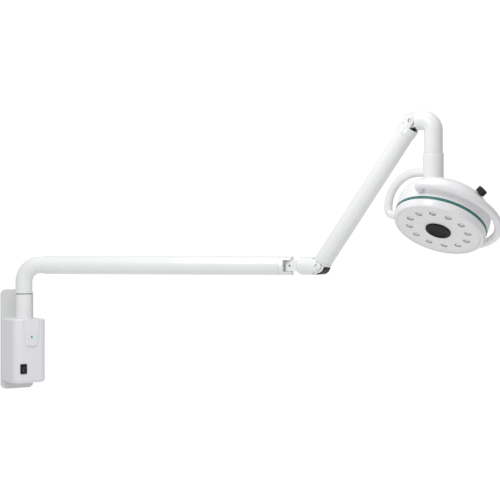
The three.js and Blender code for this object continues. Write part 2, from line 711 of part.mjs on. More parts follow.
// The round heat sink: a flanged disc with radial fins.
function heatSink() {
  const disc = headTurned([[9, 14], [106, 14], [106, 17], [9, 17]], FINE);
  const fins = Array.from({ length: 16 }, (_, i) => {
    const fin = new THREE.BoxGeometry(56, 2, 24).translate(64, 0, FACE + 28);
    return solid(fin.rotateZ((i / 16) * 2 * Math.PI));
  });
  return join(disc, ...fins);
}

// The black cap in the middle of the face, with the stud that draws it up to the heat sink.
function centreHub() {
  const cap = [[0, -0.6], [23, -0.6], [26, -3], [30.5, -2.6], [HUB_RADIUS, -0.5], [HUB_RADIUS, 1.2]];
  return headTurned([...cap, [28, 1.2], [28, 5], [6, 5], [6, 13.6], [0, 13.6]], FINE);
}

// The driver board on four pillars above the fins.
function driverBoard() {
  const pillars = [[-30, -20], [30, -20], [-30, 20], [30, 20]].map(([x, y]) =>
    rod(3, FACE + 17.3, FACE + 44.5, Z, [x, y, 0], 10),
  );
  return join(
    box(-38, 38, -28, 28, FACE + 44, FACE + 45.6),
    box(-22, -2, -12, 12, FACE + 45, FACE + 60),
    box(8, 28, -18, -6, FACE + 45, FACE + 54),
    ...pillars,
  );
}

// The positioning handle: a round bar about the side of the head away from the yoke, turned in at both ends.
function handleBow() {
  const { circle, tube, bend, from, to, height } = HANDLE;
  const lead = Math.asin(bend / (circle - bend)) / DEG;
  const inner = 117.6;
  const straight = Math.sqrt((circle - bend) ** 2 - bend ** 2) - inner;
  const start = [inner * Math.cos(from * DEG), inner * Math.sin(from * DEG)];
  const corner = { turn: 90 + lead, radius: bend, steps: 4 };
  const round = { turn: to - from - 2 * lead, radius: circle, steps: 14 };
  const path = new BentPath(...start, from, [straight, corner, round, corner, straight]);
  const bow = sweptGeometry(path, tube, 0, SMALL).rotateX(-Math.PI / 2).translate(0, 0, height);
  const screwHoles = [from, to].map((angle) =>
    rod(3.6, inner - 2, inner + 13, radial(angle), handleCentre, SMALL),
  );
  return cut(solid(bow), ...screwHoles);
}

function handleScrew(angle) {
  const profile = [[0, 108.5], [7, 108.5], [7, 112.5], [3.2, 112.5], [3.2, 128], [0, 128]];
  return turned(profile, SMALL, radial(angle), handleCentre);
}

function head(parent) {
  parent.add(piece("front_bezel", frontBezel(), white));
  const band = [[RING.inner, RING.bottom], [RING.outer, RING.bottom]];
  const ringProfile = [...band, [RING.outer, RING.top], [RING.inner, RING.top]];
  parent.add(piece("green_ring", headTurned(ringProfile), green));
  parent.add(piece("head_shell", headShell(), white));
  parent.add(piece("face_plate", facePlate(), grey));
  parent.add(piece("lens_plate", lensPlate(), clear));
  parent.add(piece("led_board", ledBoard(), board));
  parent.add(piece("heat_sink", heatSink(), aluminium));
  parent.add(piece("centre_hub", centreHub(), black));
  parent.add(piece("driver_board", driverBoard(), board));
  const bush = ring(runningBore(TILT.pin), 7.9, 108.2, 128, X, [0, 0, 0], MEDIUM);
  parent.add(piece("tilt_bush", bush, black));
  parent.add(piece("handle_bow", handleBow(), white));
  parent.add(piece("handle_screw_left", handleScrew(HANDLE.from), steel));
  parent.add(piece("handle_screw_right", handleScrew(HANDLE.to), steel));
  const shaftWay = runningBore(3, SMALL);
  const encoder = [[shaftWay, -15], [8, -15], [8, -4.5], [3.8, -4.5], [3.8, 2.4], [shaftWay, 2.4]];
  parent.add(piece("dimmer_encoder", turned(encoder, SMALL, knobAxis(), knobPlace()), black));
}

// The ribbed knob and its shaft, built along Z and leant out on the shoulder of the dome.
function dimmer(parent) {
  const made = group(parent, knobPlace());
  made.quaternion.setFromUnitVectors(Z, knobAxis());
  const points = Array.from({ length: KNOB.flutes * 2 }, (_, i) => {
    const angle = (i / KNOB.flutes) * Math.PI;
    const radius = KNOB.radius - 0.5 + 0.5 * Math.cos(KNOB.flutes * angle);
    return new THREE.Vector2(radius * Math.cos(angle), radius * Math.sin(angle));
  });
  const bevel = { bevelSize: 0.8, bevelOffset: -0.8, bevelThickness: 0.8, bevelSegments: 1 };
  const options = { depth: KNOB.to - KNOB.from - 1.6, ...bevel };
  const body = new THREE.ExtrudeGeometry(new THREE.Shape(points), options);
  body.translate(0, 0, KNOB.from + 0.8);
  made.add(piece("dimmer_knob", cut(solid(body), rod(3.3, 0, 15, Z, [0, 0, 0], SMALL)), black));
  made.add(piece("dimmer_shaft", rod(3, -11, 14, Z, [0, 0, 0], SMALL), steel));
}

// --- the whole light ------------------------------------------------------------------------

const light = new THREE.Group();
wallUnit(light);

const mainArmFrame = group(light, [0, -POST_OUT, ARM_HEIGHT], MAIN_ARM.azimuth);
mainArm(mainArmFrame);

const knuckleFrame = group(mainArmFrame, [MAIN_ARM.pin, 0, 0], KNUCKLE.azimuth - MAIN_ARM.azimuth);
knuckle(knuckleFrame);

const springArmFrame = group(knuckleFrame, [KNUCKLE.pitchAxis, 0, 0]);
springArmFrame.rotation.y = -SPRING_ARM.rise * DEG;
springArm(springArmFrame);

const [linkX, , linkZ] = linkPivot();
const linkFrame = group(knuckleFrame, [KNUCKLE.pitchAxis + linkX, 0, linkZ]);
linkFrame.rotation.y = -SPRING_ARM.rise * DEG;
linkFrame.add(levelLink());

const run = SPRING_ARM.length * Math.cos(SPRING_ARM.rise * DEG);
const climb = SPRING_ARM.length * Math.sin(SPRING_ARM.rise * DEG);
const gooseneckFrame = group(knuckleFrame, [KNUCKLE.pitchAxis + run, 0, climb]);
gooseneck(gooseneckFrame);

const stemTurn = STEM.azimuth - KNUCKLE.azimuth;
const stemFrame = group(gooseneckFrame, [GOOSENECK.reach, 0, 0], stemTurn);
stem(stemFrame);

const headFrame = group(stemFrame, [TILT.offset, 0, TILT.height]);
headFrame.rotation.x = TILT.rest * DEG;
head(headFrame);
dimmer(headFrame);

export default light;
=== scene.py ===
import json
import math

import bmesh
import bpy
from mathutils import Matrix, Vector


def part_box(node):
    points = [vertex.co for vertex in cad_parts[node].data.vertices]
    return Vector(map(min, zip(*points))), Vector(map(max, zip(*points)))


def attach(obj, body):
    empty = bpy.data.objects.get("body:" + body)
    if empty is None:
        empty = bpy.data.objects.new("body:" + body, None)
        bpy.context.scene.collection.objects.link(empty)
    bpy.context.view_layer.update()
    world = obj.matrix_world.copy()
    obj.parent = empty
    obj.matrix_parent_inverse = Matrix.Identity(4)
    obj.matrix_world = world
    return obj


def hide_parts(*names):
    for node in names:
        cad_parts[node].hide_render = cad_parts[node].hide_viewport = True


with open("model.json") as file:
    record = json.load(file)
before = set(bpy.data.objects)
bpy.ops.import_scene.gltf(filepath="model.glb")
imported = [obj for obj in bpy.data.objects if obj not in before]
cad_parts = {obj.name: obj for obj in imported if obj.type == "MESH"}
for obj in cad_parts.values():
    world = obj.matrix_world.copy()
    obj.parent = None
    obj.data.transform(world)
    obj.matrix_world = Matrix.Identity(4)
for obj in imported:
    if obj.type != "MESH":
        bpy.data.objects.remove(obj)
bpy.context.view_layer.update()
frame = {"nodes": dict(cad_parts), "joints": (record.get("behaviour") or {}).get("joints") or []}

MM = 0.001
SCENE = bpy.context.scene

# --- frames ---------------------------------------------------------------------------------------

JOINTS = {joint["name"]: joint for joint in frame["joints"]}


def place(joint):
    return Vector(JOINTS[joint]["pos_m"])


def frame_at(origin, azimuth=0.0, raised=0.0):
    """A frame in millimetres at a point, turned about Z and then raised about its own Y."""
    turn = Matrix.Rotation(math.radians(azimuth), 4, "Z")
    rise = Matrix.Rotation(math.radians(-raised), 4, "Y")
    return Matrix.Translation(origin) @ turn @ rise @ Matrix.Scale(MM, 4)


MAIN_AZIMUTH = -47
ARM_AZIMUTH = -66
ARM_RISE = 53.5
STEM_AZIMUTH = 109
HEAD_TILT = 31.6

LEVEL = place("gooseneck_level")
SWIVEL = place("stem_swivel")
WALL = frame_at(Vector())
MAIN = frame_at(place("column_swivel"), MAIN_AZIMUTH)
KNUCKLE = frame_at(place("elbow_swivel"), ARM_AZIMUTH)
SPRING = frame_at(place("arm_pitch"), ARM_AZIMUTH, ARM_RISE)
NECK = frame_at(LEVEL, ARM_AZIMUTH)
STEM = frame_at(Vector((SWIVEL.x, SWIVEL.y, LEVEL.z)), STEM_AZIMUTH)
HEAD = frame_at(place("head_tilt"), STEM_AZIMUTH) @ Matrix.Rotation(math.radians(HEAD_TILT), 4, "X")
KNOB_TURN = Vector(JOINTS["dimmer_turn"]["axis"]).to_track_quat("Z", "Y").to_matrix().to_4x4()
KNOB = Matrix.Translation(place("dimmer_turn")) @ KNOB_TURN @ Matrix.Scale(MM, 4)

ALONG_X = Matrix.Rotation(math.radians(90), 4, "Y")
ALONG_Y = Matrix.Rotation(math.radians(-90), 4, "X")
FORWARD = Matrix.Rotation(math.radians(90), 4, "X")
UPRIGHT = Matrix.Identity(4)

ROUND = 128
PIPE = 72
SMALL = 40


# --- shapes ---------------------------------------------------------------------------------------

def mesh_of(shape):
    """The mesh of a finished bmesh, with its faces turned outwards."""
    bmesh.ops.recalc_face_normals(shape, faces=shape.faces)
    mesh = bpy.data.meshes.new("shape")
    shape.to_mesh(mesh)
    shape.free()
    return mesh


def turned(profile, sides=ROUND, turn=UPRIGHT, at=(0, 0, 0)):
    """A body of revolution about Z through (radius, height) points, turned and moved into place."""
    shape = bmesh.new()
    rings = []
    for radius, height in profile:
        if radius < 1e-6:
            rings.append([shape.verts.new((0, 0, height))])
            continue
        rings.append([])
        for i in range(sides):
            angle = 2 * math.pi * i / sides
            rings[-1].append(shape.verts.new((radius * math.cos(angle), radius * math.sin(angle), height)))
    pairs = list(zip(rings, rings[1:]))
    if profile[0][0] > 1e-6:
        pairs.append((rings[-1], rings[0]))
    for low, high in pairs:
        for i in range(sides):
            j = (i + 1) % sides
            corners = [low[i % len(low)], low[j % len(low)], high[j % len(high)], high[i % len(high)]]
            corners = list(dict.fromkeys(corners))
            if len(corners) > 2:
                shape.faces.new(corners)
    bmesh.ops.transform(shape, matrix=Matrix.Translation(at) @ turn, verts=shape.verts)
    return mesh_of(shape)


def rod(radius, low, high, turn=UPRIGHT, at=(0, 0, 0), sides=ROUND):
    return turned([(0, low), (radius, low), (radius, high), (0, high)], sides, turn, at)


def softened(points, radius, closed=True, steps=4):
    """An outline with each of its corners rounded off by a short curve."""
    made = []
    for i, point in enumerate(points):
        if not closed and i in (0, len(points) - 1):
            made.append(tuple(point))
            continue
        here = Vector(point)
        before = Vector(points[i - 1]) - here
        after = Vector(points[(i + 1) % len(points)]) - here
        reach = min(radius, 0.45 * before.length, 0.45 * after.length)
        start = here + before.normalized() * reach
        end = here + after.normalized() * reach
        for step in range(steps + 1):
            t = step / steps
            made.append(tuple((1 - t) ** 2 * start + 2 * t * (1 - t) * here + t ** 2 * end))
    return made


def hollow(inner, outer, low, high, edge=0.8):
    """A tube along X with softened ends."""
    return turned(softened([(inner, low), (outer, low), (outer, high), (inner, high)], edge), ROUND, ALONG_X)


def splined(points):
    """A smooth curve through an open outline's points."""
    steps = 5
    made = []
    for i in range(len(points) - 1):
        p0, p1 = Vector(points[max(i - 1, 0)]), Vector(points[i])
        p2, p3 = Vector(points[i + 1]), Vector(points[min(i + 2, len(points) - 1)])
        for step in range(steps):
            t = step / steps
            curve = 2 * p1 + (p2 - p0) * t + (2 * p0 - 5 * p1 + 4 * p2 - p3) * t ** 2
            made.append(tuple(0.5 * (curve + (3 * p1 - p0 - 3 * p2 + p3) * t ** 3)))
    made.append(tuple(points[-1]))
    return made


def bent_path(x, z, heading, moves):
    """Stations (x, z, heading) of a path that runs straight by a length or turns by (angle, radius)."""
    stations = [(x, z, heading)]
    for move in moves:
        x, z, heading = stations[-1]
        ahead = (math.cos(math.radians(heading)), math.sin(math.radians(heading)))
        if not isinstance(move, tuple):
            stations.append((x + move * ahead[0], z + move * ahead[1], heading))
            continue
        angle, radius = move
        side = math.copysign(radius, angle)
        centre = (x - side * ahead[1], z + side * ahead[0])
        steps = max(6, round(abs(angle) / 4))
        for i in range(1, steps + 1):
            now = heading + angle * i / steps
            turn = math.radians(now)
            stations.append((centre[0] + side * math.sin(turn), centre[1] - side * math.cos(turn), now))
    return stations


def swept(stations, outer, inner, sides=PIPE, edge=0.0, flat=False):
    """A bar or tube along a bent path in the XZ plane, or in the XY plane when it is flat."""
    shape = bmesh.new()

    def circle(station, radius, slip=0.0):
        x, z, heading = station
        ahead = Vector((math.cos(math.radians(heading)), 0, math.sin(math.radians(heading))))
        across = Vector((-ahead.z, 0, ahead.x))
        centre = Vector((x, 0, z)) + ahead * slip
        turns = [2 * math.pi * i / sides for i in range(sides)]
        return [
            shape.verts.new(centre + radius * (math.cos(a) * across + math.sin(a) * Vector((0, 1, 0))))
            for a in turns
        ]

    first, last = stations[0], stations[-1]
    rings = [circle(station, outer) for station in stations[1:-1]]
    starts = [circle(first, outer - edge), circle(first, outer, edge)] if edge else [circle(first, outer)]
    ends = [circle(last, outer, -edge), circle(last, outer - edge)] if edge else [circle(last, outer)]
    rings = starts + rings + ends
    if inner:
        rings += [circle(station, inner) for station in reversed(stations)]
        rings.append(rings[0])
    for low, high in zip(rings, rings[1:]):
        for i in range(sides):
            j = (i + 1) % sides
            shape.faces.new((low[i], low[j], high[j], high[i]))
    if not inner:
        shape.faces.new(rings[0])
        shape.faces.new(rings[-1])
    if flat:
        bmesh.ops.transform(shape, matrix=Matrix.Rotation(math.radians(-90), 4, "X"), verts=shape.verts)
    return mesh_of(shape)


def prism(outline, low, high, turn=UPRIGHT, at=(0, 0, 0)):
    """A flat outline in the XY plane given a thickness along Z."""
    shape = bmesh.new()
    bottom = [shape.verts.new((x, y, low)) for x, y in outline]
    top = [shape.verts.new((x, y, high)) for x, y in outline]
    shape.faces.new(bottom)
    shape.faces.new(top)
    for i in range(len(outline)):
        j = (i + 1) % len(outline)
        shape.faces.new((bottom[i], bottom[j], top[j], top[i]))
    bmesh.ops.transform(shape, matrix=Matrix.Translation(at) @ turn, verts=shape.verts)
    return mesh_of(shape)


def block(x0, x1, y0, y1, z0, z1):
    return prism([(x0, y0), (x1, y0), (x1, y1), (x0, y1)], z0, z1)


def stacked(layers):
    """A solid through a stack of outlines (points, height) that all have as many points."""
    shape = bmesh.new()
    rings = [[shape.verts.new((x, y, height)) for x, y in points] for points, height in layers]
    for low, high in zip(rings, rings[1:]):
        for i in range(len(low)):
            j = (i + 1) % len(low)
            shape.faces.new((low[i], low[j], high[j], high[i]))
    shape.faces.new(rings[0])
    shape.faces.new(rings[-1])
    return mesh_of(shape)


def arc(x, y, radius, start, end, steps=12):
    turns = [math.radians(start + (end - start) * i / steps) for i in range(steps + 1)]
    return [(x + radius * math.cos(a), y + radius * math.sin(a)) for a in turns]


def rounded_rectangle(width, height, corner):
    w, h = width / 2 - corner, height / 2 - corner
    corners = [(w, h, 0), (-w, h, 90), (-w, -h, 180), (w, -h, 270)]
    return [point for x, y, a in corners for point in arc(x, y, corner, a, a + 90)]


def combined(operation, base, tools):
    """A mesh joined with, cut by or trimmed to others."""
    carrier = bpy.data.objects.new("carrier", base)
    SCENE.collection.objects.link(carrier)
    helpers = []
    for tool in tools:
        helper = bpy.data.objects.new("tool", tool)
        SCENE.collection.objects.link(helper)
        helpers.append(helper)
        modifier = carrier.modifiers.new("shape", "BOOLEAN")
        modifier.operation = operation
        modifier.solver = "EXACT"
        modifier.object = helper
    made = bpy.data.meshes.new_from_object(carrier.evaluated_get(bpy.context.evaluated_depsgraph_get()))
    for thing in [carrier, *helpers]:
        bpy.data.objects.remove(thing)
    return made


def grouped(*meshes):
    """One mesh of several closed shells that sit in each other, without working out where they cross."""
    shape = bmesh.new()
    for mesh in meshes:
        shape.from_mesh(mesh)
    return mesh_of(shape)


def cut(base, *tools):
    return combined("DIFFERENCE", base, tools)


def join(base, *tools):
    return combined("UNION", base, tools)


def trim(base, tool):
    return combined("INTERSECT", base, [tool])


def piece(name, mesh, at, body, material, edge=0.0, replaces=True):
    """Sets a mesh in place as a piece that rides on a body and stands for the CAD node of its name."""
    mesh.transform(at)
    mesh.shade_smooth()
    made = bpy.data.objects.new(name + "_visual", mesh)
    SCENE.collection.objects.link(made)
    mesh.materials.clear()
    mesh.materials.append(material)
    if edge:
        bevel = made.modifiers.new("edges", "BEVEL")
        bevel.width = edge * MM
        bevel.segments = 3
        bevel.limit_method = "ANGLE"
        bevel.angle_limit = math.radians(38)
        bevel.use_clamp_overlap = True
        weighted = made.modifiers.new("shading", "WEIGHTED_NORMAL")
        weighted.weight = 80
    else:
        mesh.set_sharp_from_angle(angle=math.radians(38))
    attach(made, body)
    if replaces:
        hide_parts(name)
    return made


# --- materials ------------------------------------------------------------------------------------

class Look:
    """A node material: one shader, fed by procedural textures in the piece's own coordinates."""

    def __init__(self, name, slot, roughness, metallic=0.0):
        self.material = bpy.data.materials.new(name)
        self.material.use_nodes = True
        self.material["slot"] = slot
        self.tree = self.material.node_tree
        self.shader = self.tree.nodes["Principled BSDF"]
        self.shader.inputs["Roughness"].default_value = roughness
        self.shader.inputs["Metallic"].default_value = metallic
        self.coordinates = self.tree.nodes.new("ShaderNodeTexCoord").outputs["Object"]

    def noise(self, scale, detail, stretch):
        mapping = self.tree.nodes.new("ShaderNodeMapping")
        mapping.inputs["Scale"].default_value = stretch
        self.tree.links.new(self.coordinates, mapping.inputs["Vector"])
        texture = self.tree.nodes.new("ShaderNodeTexNoise")
        texture.inputs["Scale"].default_value = scale
        texture.inputs["Detail"].default_value = detail
        self.tree.links.new(mapping.outputs["Vector"], texture.inputs["Vector"])
        return texture.outputs["Fac"]

    def span(self, value, low, high, start=0.3, end=0.7):
        node = self.tree.nodes.new("ShaderNodeMapRange")
        for name, number in [("From Min", start), ("From Max", end), ("To Min", low), ("To Max", high)]:
            node.inputs[name].default_value = number
        self.tree.links.new(value, node.inputs["Value"])
        return node.outputs["Result"]

    def mixed(self, share, first, second):
        node = self.tree.nodes.new("ShaderNodeMix")
        node.data_type = "RGBA"
        self.tree.links.new(share, node.inputs["Factor"])
        for socket, colour in [(node.inputs["A"], first), (node.inputs["B"], second)]:
            if isinstance(colour, bpy.types.NodeSocket):
                self.tree.links.new(colour, socket)
            else:
                socket.default_value = (*colour, 1)
        return node.outputs["Result"]

    def colours(self, first, second, scale=11.0, stretch=(1, 1, 1)):
        colour = self.mixed(self.span(self.noise(scale, 3, stretch), 0, 1), first, second)
        self.tree.links.new(colour, self.shader.inputs["Base Color"])
        return colour

    def gloss(self, low, high, scale, stretch=(1, 1, 1)):
        rough = self.span(self.noise(scale, 3, stretch), low, high)
        self.tree.links.new(rough, self.shader.inputs["Roughness"])

    def bumps(self, scale, depth_mm, strength, stretch=(1, 1, 1), detail=2.0):
        node = self.tree.nodes.new("ShaderNodeBump")
        node.inputs["Strength"].default_value = strength
        node.inputs["Distance"].default_value = depth_mm * MM
        self.tree.links.new(self.noise(scale, detail, stretch), node.inputs["Height"])
        self.tree.links.new(node.outputs["Normal"], self.shader.inputs["Normal"])

    def coat(self, weight, roughness):
        self.shader.inputs["Coat Weight"].default_value = weight
        self.shader.inputs["Coat Roughness"].default_value = roughness

    def near(self, point, inner, outer):
        """1 within the inner distance of a point of the row frame, 0 beyond the outer one."""
        node = self.tree.nodes.new("ShaderNodeVectorMath")
        node.operation = "DISTANCE"
        self.tree.links.new(self.coordinates, node.inputs[0])
        node.inputs[1].default_value = point
        return self.span(node.outputs["Value"], 1, 0, inner * MM, outer * MM)


def enamel(name, slot, light, dark, roughness=0.3, peel=0.014):
    """Powder coat: an orange-peel surface under a thin gloss, with a slow drift of tone."""
    look = Look(name, slot, roughness)
    look.colours(light, dark)
    look.gloss(roughness - 0.05, roughness + 0.08, 160)
    look.bumps(620, peel, 0.6)
    look.coat(0.35, 0.16)
    return look.material


def moulded(name, slot, light, dark, roughness, grain=0.02, scale=2600, shine=0.5):
    """Moulded plastic with a fine spark-eroded grain."""
    look = Look(name, slot, roughness)
    look.shader.inputs["Specular IOR Level"].default_value = shine
    look.colours(light, dark, 17)
    look.gloss(roughness - 0.06, roughness + 0.07, 420)
    look.bumps(scale, grain, 0.7, detail=3)
    return look.material


def metal(name, slot, light, dark, roughness, stretch, scale=260, depth=0.012):
    """Drawn or turned metal: long fine scratches along one direction."""
    look = Look(name, slot, roughness, 1.0)
    look.colours(light, dark, scale, stretch)
    look.gloss(roughness - 0.08, roughness + 0.12, scale * 1.7, stretch)
    look.bumps(scale * 4, depth, 0.6, stretch)
    return look.material


LED_AT = (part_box("status_led")[0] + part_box("status_led")[1]) / 2

WHITE = enamel("white_powder_coat", "white_enamel", (0.89, 0.895, 0.9), (0.865, 0.875, 0.88))
HEAD_WHITE = enamel("head_enamel", "head_white", (0.89, 0.89, 0.905), (0.87, 0.87, 0.885), 0.28, 0.008)
FACE = enamel("face_enamel", "face_grey", (0.87, 0.87, 0.88), (0.85, 0.85, 0.86), 0.36, 0.012)
# The plate's coat is grey-white and set darker than the white enamel: partly its own grey, partly painted
# shade for the plate sitting in shadow round the housing.
PLATE_GREY_AND_SHADE = enamel("plate_coat_and_painted_shade", "plate_grey", (0.75, 0.77, 0.755), (0.715, 0.735, 0.72), 0.5, 0.03)
HOUSING = moulded("housing_plastic", "housing_white", (0.86, 0.855, 0.9), (0.84, 0.84, 0.885), 0.42)
BLACK = moulded(
    "black_plastic", "black_plastic", (0.012, 0.012, 0.014), (0.02, 0.02, 0.022), 0.4, 0.03, shine=0.3
)
RUBBER = moulded(
    "soft_black", "black_plastic", (0.008, 0.008, 0.009), (0.022, 0.021, 0.022), 0.55, 0.09, 900, 0.16
)
NYLON = moulded("grey_nylon", "black_plastic", (0.3, 0.32, 0.33), (0.26, 0.28, 0.29), 0.5)
BAND = moulded("teal_band", "green_band", (0.04, 0.2, 0.18), (0.035, 0.18, 0.16), 0.34, 0.01)
STEEL = metal("turned_steel", "steel", (0.62, 0.63, 0.64), (0.52, 0.53, 0.54), 0.3, (1, 1, 14))
SPRING_STEEL = metal("spring_wire", "steel", (0.42, 0.42, 0.43), (0.34, 0.34, 0.35), 0.38, (1, 1, 1), 500)
CAST = metal("cast_aluminium", "aluminium", (0.7, 0.71, 0.72), (0.6, 0.61, 0.62), 0.5, (1, 1, 1), 700, 0.05)
MARK = moulded("pad_printed_mark", "head_white", (0.86, 0.86, 0.86), (0.8, 0.8, 0.8), 0.5, 0.01)


def badge_material():
    """The badge's plastic, with a painted green glow from the status light round its hole."""
    look = Look("badge_plastic", "housing_white", 0.3)
    base = look.colours((0.87, 0.86, 0.91), (0.85, 0.84, 0.895), 17)
    # Painted light: the base colour is mixed towards green near the status light, standing in for the glow
    # it casts on the badge.
    painted_led_glow = look.mixed(look.near(LED_AT, 5, 17), base, (0.78, 0.89, 0.86))
    look.tree.links.new(painted_led_glow, look.shader.inputs["Base Color"])
    look.gloss(0.26, 0.36, 420)
    look.bumps(2600, 0.012, 0.6, detail=3)
    return look.material


def lens_material():
    """Lightly frosted acrylic with faint flow lines."""
    look = Look("frosted_acrylic", "clear_lens", 0.22)
    look.colours((0.95, 0.96, 0.97), (0.91, 0.93, 0.94), 90)
    look.gloss(0.16, 0.3, 300)
    look.bumps(420, 0.02, 0.4)
    look.shader.inputs["Transmission Weight"].default_value = 0.3
    look.shader.inputs["IOR"].default_value = 1.49
    return look.material


def indicator_material():
    """The status light's tinted lens, lit from inside."""
    look = Look("green_indicator", "green_lens", 0.2)
    look.colours((0.02, 0.32, 0.17), (0.03, 0.26, 0.15), 700)
    look.bumps(1400, 0.03, 0.5)
    look.shader.inputs["Emission Color"].default_value = (0.05, 0.6, 0.3, 1)
    look.shader.inputs["Emission Strength"].default_value = 0.12
    look.coat(0.6, 0.08)
    return look.material


def board_material():
    """White solder mask with darker copper tracks showing through."""
    look = Look("circuit_board", "circuit_board", 0.4)
    look.colours((0.78, 0.8, 0.76), (0.55, 0.62, 0.55), 420, (1, 6, 1))
    look.gloss(0.3, 0.5, 600)
    look.bumps(900, 0.04, 0.6)
    return look.material


BADGE = badge_material()
LENS = lens_material()
INDICATOR = indicator_material()
BOARD = board_material()


# --- wall unit ------------------------------------------------------------------------------------

WALL_SCREWS = [(38, 45), (-38, 45), (38, -50), (-38, -50)]
PLATE_SIZE = (96, 280)
PLATE_CORNER = 14
PLATE_THICKNESS = 8
LUG_X = (-30, 30)  # the two lugs under the plate that the housing screws into
LUG_DEPTH = -17
POST_AT = (0, -53.5, 0)
POST_RADIUS = 22.5
POST_BORE = 19
HOUSING_CORNER = 22
HOUSING_WALL = 3
HOUSING_FILLET = 10
HOUSING_CROWN = 4
LED_HOLE = 2.9
HOUSING_FRONT = -104.5
HOUSING_TOP = 59
HOUSING_BOTTOM = -118
HOUSING_BACK = -8.3
LED_HEIGHT = 10
ROCKER_AT = (-22.6, -99.5, -78)
ROCKER_SIZE = (19, 27)
ROCKER_REST = 6


def wall_plate():
    slab = prism(rounded_rectangle(*PLATE_SIZE, PLATE_CORNER), 0, PLATE_THICKNESS, FORWARD)
    holes = [rod(3.4, -1, 9, FORWARD, (x, 0, z), SMALL) for x, z in WALL_SCREWS]
    lugs = []
    for x in LUG_X:
        thread = rod(1.8, -120, -100, at=(x, LUG_DEPTH, 0), sides=SMALL)
        lugs.append(cut(block(x - 6, x + 6, -24, -7, -112, -104), thread))
    return join(cut(slab, *holes), *lugs)


def housing_outline(inset):
    """The housing's plan at an inset: two front corners, and a straight back."""
    half = PLATE_SIZE[0] / 2 - inset
    corner, front = HOUSING_CORNER - inset, HOUSING_FRONT + inset
    left = arc(-half + corner, front + corner, corner, 180, 270, 16)
    right = arc(half - corner, front + corner, corner, 270, 360, 16)
    return [(-half, 20), *left, *right, (half, 20)]


def housing_block(inset):
    """The housing's outside, or its inside at the wall's thickness, rounded at the bottom and the top."""
    low, high = HOUSING_BOTTOM + inset, HOUSING_TOP - inset
    fillet, crown = HOUSING_FILLET - inset, HOUSING_CROWN - inset
    layers = []
    for step in range(9):
        angle = math.radians(90 * step / 8)
        side = inset + fillet * (1 - math.sin(angle))
        layers.append((housing_outline(side), low + fillet * (1 - math.cos(angle))))
    for step in range(6):
        angle = math.radians(90 * step / 5)
        side = inset + crown * (1 - math.cos(angle))
        layers.append((housing_outline(side), high - crown * (1 - math.sin(angle))))
    return stacked(layers)


def power_housing():
    x, _, z = ROCKER_AT
    w, h = ROCKER_SIZE[0] / 2 + 0.3, ROCKER_SIZE[1] / 2 + 0.3
    return cut(
        housing_block(0),
        housing_block(HOUSING_WALL),
        block(-80, 80, HOUSING_BACK, 80, -200, 200),
        rod(23.3, 40, 80, at=POST_AT),
        block(x - w, x + w, -120, -90, z - h, z + h),
        rod(3.2, 80, 120, FORWARD, (0, 0, LED_HEIGHT), SMALL),
        block(-14, 14, -61, -39, -125, -105),
        *[rod(2, -125, -105, at=(x, LUG_DEPTH, 0), sides=SMALL) for x in LUG_X],
    )


def badge():
    outline = [(-24, 59.5), (-16.2, -15), (16.2, -15), (24, 59.5)]
    slab = prism(softened(outline, 9, closed=False, steps=12), 104.8, 107.8, FORWARD)
    return cut(slab, rod(LED_HOLE, 90, 120, FORWARD, (0, 0, LED_HEIGHT), SMALL))


def status_led():
    lens = [(0, 96), (3.8, 96), (3.8, 100.8), (2.8, 100.8), (2.8, 107.6)]
    turns = [math.radians(angle) for angle in range(15, 90, 15)]
    dome = [(2.8 * math.cos(turn), 107.6 + 1.6 * math.sin(turn)) for turn in turns]
    return turned([*lens, *dome, (0, 109.2)], SMALL, FORWARD, (0, 0, LED_HEIGHT))


def rocker_frame():
    x, _, z = ROCKER_AT
    w, h = ROCKER_SIZE[0] / 2, ROCKER_SIZE[1] / 2
    body = prism(rounded_rectangle(2 * w, 2 * h, 1.6), 86, 106, FORWARD, (x, 0, z))
    flange = block(x - w - 2, x + w + 2, -98, -96, z - h - 2, z + h + 2)
    opening = block(x - w + 3, x + w - 3, -110, -88, z - h + 3, z + h - 3)
    bearing = rod(1.9, -w + 1.5, w - 1.5, ALONG_X, ROCKER_AT, SMALL)
    return cut(join(body, flange), opening, bearing)


def rocker_frame_at():
    return WALL @ Matrix.Translation(ROCKER_AT) @ Matrix.Rotation(math.radians(ROCKER_REST), 4, "X")


def rocker_blade():
    """The paddle: its side view has two dished finger faces that meet in a ridge."""
    face = [(9.6 - 2.4 * i, -7.5 + 0.24 * i * (2.2 + 0.3 * i)) for i in range(4)]
    mirrored = [(-x, y) for x, y in face[:0:-1]] + [(-9.6, -7.5)]
    outline = [*face, (0, -5.6), *mirrored, (-9.2, -3), (-3.5, 3.5), (3.5, 3.5), (9.2, -3)]
    side = Matrix(((0, 0, 1, 0), (0, 1, 0, 0), (1, 0, 0, 0), (0, 0, 0, 1)))
    return join(prism(outline, -5.9, 5.9, side), rod(1.5, -7.5, 7.5, ALONG_X, sides=SMALL))


def rocker_mark():
    """The plain bar and circle that say on and off, just proud of the paddle's faces."""
    tilt = 11
    bar_turn = Matrix.Rotation(math.radians(90 - tilt), 4, "X")
    ring_turn = Matrix.Rotation(math.radians(90 + tilt), 4, "X")
    bar = prism(rounded_rectangle(0.9, 4.4, 0.4), 6.58, 6.86, bar_turn, (0, 1.1, 4.2))
    circle = turned([(1.5, 6.58), (2.2, 6.58), (2.2, 6.86), (1.5, 6.86)], SMALL, ring_turn, (0, 1.1, -4.2))
    return join(bar, circle)


def cross_screw(shank, head, height, length, at, turn=UPRIGHT):
    """A pan-head screw with a cross recess; its head is below its seat at height 0."""
    crown = [(0, -height), (head * 0.55, -height * 0.97)]
    crown += [(head * 0.85, -height * 0.72), (head, -height * 0.3)]
    body = turned([*crown, (head, 0), (shank, 0), (shank, length), (0, length)], SMALL)
    arm = head * 0.62
    slots = [block(-arm, arm, -0.35, 0.35, -height - 1, -height * 0.45),
             block(-0.35, 0.35, -arm, arm, -height - 1, -height * 0.45)]
    made = cut(body, *slots)
    made.transform(Matrix.Translation(at) @ turn)
    return made


